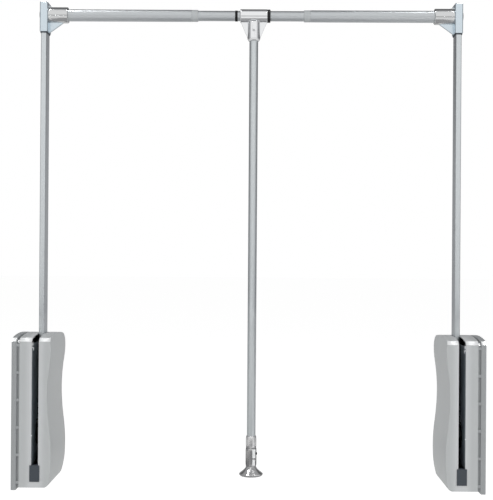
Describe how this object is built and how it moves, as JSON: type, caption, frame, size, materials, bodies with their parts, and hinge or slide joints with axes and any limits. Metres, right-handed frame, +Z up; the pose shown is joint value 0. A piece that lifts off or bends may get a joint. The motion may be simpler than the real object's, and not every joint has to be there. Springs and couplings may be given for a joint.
{
  "type": "pull down closet rod",
  "caption": "Pull-down wardrobe rail: a telescopic hanging bar on sprung swing arms from wall-mounted side units, lowered by a hanging pull rod with a flared handle.",
  "frame": {"origin": "centre of the fitting's footprint, level with the lower edge of the wall plates", "axes": "+X along the hanging rail to the viewer's right, -Y is the front, to which the arms swing down, +Z up"},
  "size_m": [0.812, 0.1436, 0.8505],
  "materials": {
    "grey_case": "satin",
    "grey_plate": "satin",
    "steel": "zinc plated",
    "dark_steel": "black oxide",
    "rubber": "matt",
    "black_nylon": "satin",
    "painted_arm": "satin silver",
    "cast_corner": "satin silver",
    "tube": "satin silver",
    "chrome": "polished",
    "tube_collar_grey": "satin"
  },
  "bodies": {
    "left_unit": {"left_wall_plate": "grey_plate", "left_case_back": "grey_case", "left_case_cover": "grey_case", "left_case_screws": "steel", "left_bumper": "rubber", "left_rest_pad": "rubber", "left_pivot_axle": "steel", "left_axle_nut": "steel", "left_damper_cylinder": "dark_steel", "left_anchor_bolt": "steel", "left_lift_spring": "dark_steel"},
    "left_frame": {"left_swing_lever": "dark_steel", "left_pivot_bushes": "black_nylon", "left_arm_rivets": "steel", "left_swing_arm": "painted_arm", "left_corner_fitting": "cast_corner", "left_corner_screw": "steel", "left_arm_gasket": "rubber", "left_tube_plug": "steel", "left_outer_tube": "tube", "left_tube_collar": "tube_collar_grey"},
    "left_roller": {"left_crank_roller": "black_nylon"},
    "left_follower": {"left_spring_follower": "black_nylon", "left_damper_rod": "steel"},
    "right_unit": {"right_wall_plate": "grey_plate", "right_case_back": "grey_case", "right_case_cover": "grey_case", "right_case_screws": "steel", "right_bumper": "rubber", "right_rest_pad": "rubber", "right_pivot_axle": "steel", "right_axle_nut": "steel", "right_damper_cylinder": "dark_steel", "right_anchor_bolt": "steel", "right_lift_spring": "dark_steel"},
    "right_frame": {"right_swing_lever": "dark_steel", "right_pivot_bushes": "black_nylon", "right_arm_rivets": "steel", "right_swing_arm": "painted_arm", "right_corner_fitting": "cast_corner", "right_corner_screw": "steel", "right_arm_gasket": "rubber", "right_tube_plug": "steel", "right_outer_tube": "tube", "right_tube_collar": "tube_collar_grey"},
    "right_roller": {"right_crank_roller": "black_nylon"},
    "right_follower": {"right_spring_follower": "black_nylon", "right_damper_rod": "steel"},
    "inner_rail": {"inner_tube": "tube", "tee_stop_ring": "rubber", "tee_end_collar": "black_nylon"},
    "tee_bush": {"tee_liner": "black_nylon"},
    "pull_rod": {"pull_rod_tee": "chrome", "tee_grub_screw": "dark_steel", "pull_rod": "tube", "handle_ferrule": "chrome", "handle_grip": "chrome", "handle_pin": "dark_steel"}
  },
  "joints": [
    {"name": "arm_swing", "type": "hinge", "parent": "left_unit", "child": "left_frame", "pos_m": [-0.3653, -0.00225, 0.092], "axis": [1, 0, 0], "range_deg": [0, 115], "stiffness_Nm_per_rad": 3, "springref_deg": -68.75},
    {"name": "width_adjust", "type": "slide", "parent": "left_unit", "child": "right_unit", "axis": [1, 0, 0], "range_m": [-0.112, 0.188]},
    {"name": "right_arm_swing", "type": "hinge", "parent": "right_unit", "child": "right_frame", "pos_m": [0.3653, -0.00225, 0.092], "axis": [1, 0, 0], "range_deg": [0, 115], "stiffness_Nm_per_rad": 3, "springref_deg": -68.75},
    {"name": "inner_tube_slide", "type": "slide", "parent": "left_frame", "child": "inner_rail", "axis": [1, 0, 0], "range_m": [-0.056, 0.094]},
    {"name": "tee_side_play", "type": "slide", "parent": "inner_rail", "child": "tee_bush", "axis": [1, 0, 0], "range_m": [-0.0045, 0]},
    {"name": "pull_rod_swivel", "type": "hinge", "parent": "tee_bush", "child": "pull_rod", "pos_m": [0.0052, -0.00225, 0.8292], "axis": [1, 0, 0], "continuous": true},
    {"name": "left_follower_lift", "type": "slide", "parent": "left_unit", "child": "left_follower", "axis": [0, 0, 1], "range_m": [0, 0.034], "deforming": ["left_lift_spring"]},
    {"name": "left_roller_spin", "type": "hinge", "parent": "left_frame", "child": "left_roller", "pos_m": [-0.38, 0.0085, 0.07513], "axis": [1, 0, 0], "continuous": true},
    {"name": "right_follower_lift", "type": "slide", "parent": "right_unit", "child": "right_follower", "axis": [0, 0, 1], "range_m": [0, 0.034], "deforming": ["right_lift_spring"]},
    {"name": "right_roller_spin", "type": "hinge", "parent": "right_frame", "child": "right_roller", "pos_m": [0.38, 0.0085, 0.07513], "axis": [1, 0, 0], "continuous": true}
  ],
  "couplings": [
    {"joint": "right_arm_swing", "follows": "arm_swing", "ratio": 1},
    {"joint": "inner_tube_slide", "follows": "width_adjust", "ratio": 0.5},
    {"joint": "left_follower_lift", "follows": "arm_swing", "m_per_rad": 0.016808},
    {"joint": "right_follower_lift", "follows": "arm_swing", "m_per_rad": 0.016808}
  ]
}
